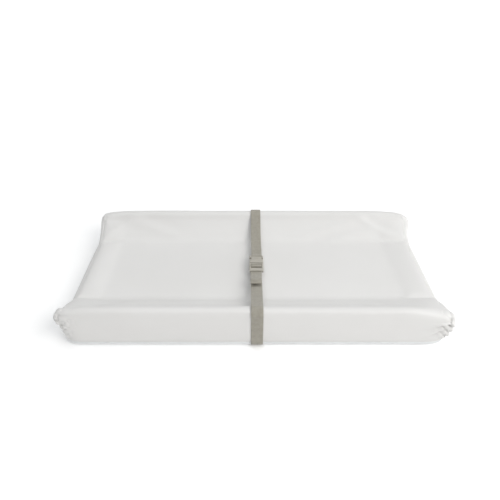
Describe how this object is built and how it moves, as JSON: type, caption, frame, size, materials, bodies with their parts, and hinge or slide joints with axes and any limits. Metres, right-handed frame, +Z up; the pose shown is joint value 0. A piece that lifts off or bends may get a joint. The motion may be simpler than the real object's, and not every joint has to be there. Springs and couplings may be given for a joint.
{
  "type": "changing pad",
  "caption": "Contoured changing pad: foam slab with raised bolsters in a smooth zipped cover, with a webbing safety strap and side-release buckle across the middle.",
  "frame": {"origin": "on the floor under the middle of the pad", "axes": "+X along the pad's length, +Y from the front bolster to the rear bolster, +Z up"},
  "size_m": [0.8167, 0.41, 0.1036],
  "materials": {
    "cover": "satin",
    "bottom_fabric": "matte",
    "foam": "matte",
    "webbing": "matte",
    "buckle_plastic": "satin",
    "zip_tape": "matte",
    "zip_coil": "gloss",
    "zip_metal": "satin"
  },
  "bodies": {
    "pad": {"foam_base": "foam", "foam_bolster_front": "foam", "foam_bolster_rear": "foam", "cover_main_panel": "cover", "cover_end_left": "cover", "cover_end_right": "cover", "bottom_panel": "bottom_fabric", "zip_tape_upper": "zip_tape", "zip_tape_lower": "zip_tape", "zip_coil_upper": "zip_coil", "zip_coil_lower": "zip_coil", "zip_stop_closed_end": "zip_metal", "zip_stop_open_end": "zip_metal", "front_webbing": "webbing", "rear_webbing": "webbing"},
    "strap": {"buckle_receiver": "buckle_plastic", "rear_webbing_loop": "webbing"},
    "plug": {"buckle_plug": "buckle_plastic", "adjuster_loop": "webbing"},
    "left_prong": {"prong_left": "buckle_plastic"},
    "right_prong": {"prong_right": "buckle_plastic"},
    "tail": {"webbing_tail": "webbing"},
    "slider": {"zip_slider": "zip_metal"},
    "pull": {"zip_pull": "zip_metal"}
  },
  "joints": [
    {"name": "strap_lift", "type": "slide", "parent": "pad", "child": "strap", "axis": [0, 0, 1], "range_m": [0, 0.06], "deforming": ["front_webbing", "rear_webbing"]},
    {"name": "buckle_release", "type": "slide", "parent": "strap", "child": "plug", "axis": [0, -1, 0], "range_m": [0, 0.024], "deforming": ["prong_left", "prong_right"]},
    {"name": "prong_left_flex", "type": "hinge", "parent": "plug", "child": "left_prong", "pos_m": [0.0001, -0.005, 0.072], "axis": [0, 0, -1], "range_deg": [0, 12], "stiffness_Nm_per_rad": 0.5},
    {"name": "prong_right_flex", "type": "hinge", "parent": "plug", "child": "right_prong", "pos_m": [0.0199, -0.005, 0.072], "axis": [0, 0, 1], "range_deg": [0, 12], "stiffness_Nm_per_rad": 0.5},
    {"name": "tail_lift", "type": "hinge", "parent": "plug", "child": "tail", "pos_m": [0.01, -0.03725, 0.072], "axis": [-1, 0, 0], "range_deg": [0, 85]},
    {"name": "zip_slide", "type": "slide", "parent": "pad", "child": "slider", "axis": [0, -1, 0], "range_m": [0, 0.26]},
    {"name": "zip_pull_flip", "type": "hinge", "parent": "slider", "child": "pull", "pos_m": [-0.4086, 0.1302, 0.0205], "axis": [0, 0, -1], "range_deg": [0, 170]}
  ]
}
